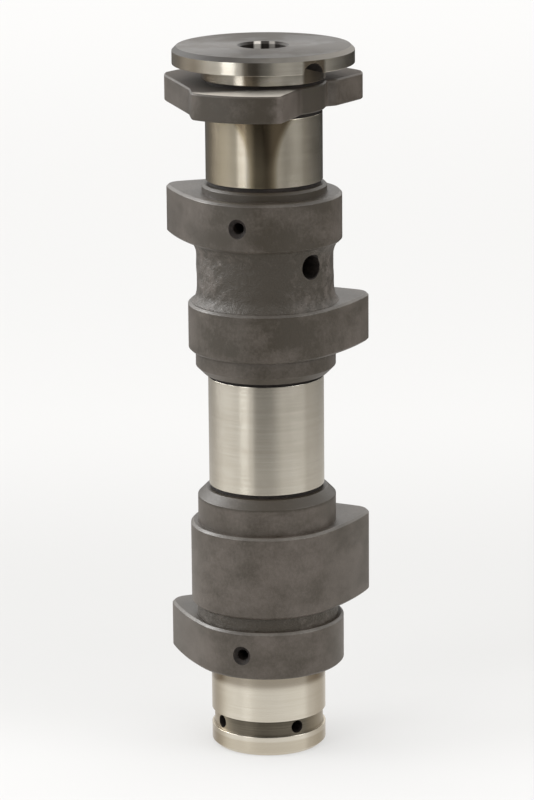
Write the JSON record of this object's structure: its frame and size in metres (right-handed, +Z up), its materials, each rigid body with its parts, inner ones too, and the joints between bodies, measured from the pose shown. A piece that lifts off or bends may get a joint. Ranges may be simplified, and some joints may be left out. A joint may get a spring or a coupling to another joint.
{
  "type": "camshaft",
  "caption": "One-piece camshaft: ground journals, offset lobes, an oil groove, and a notched end disc above a lugged flange; stands on its plain end.",
  "frame": {"origin": "centre of the plain end face of the shaft, on the shaft axis", "axes": "+Z up the shaft axis from the plain end to the flanged end; -Y is the front in the picture and +X its right"},
  "size_m": [0.0436, 0.0466, 0.1543],
  "materials": {
    "shaft_iron": "dark phosphate, with ground bright journals and end disc"
  },
  "bodies": {
    "root": {"camshaft": "shaft_iron"}
  },
  "joints": []
}
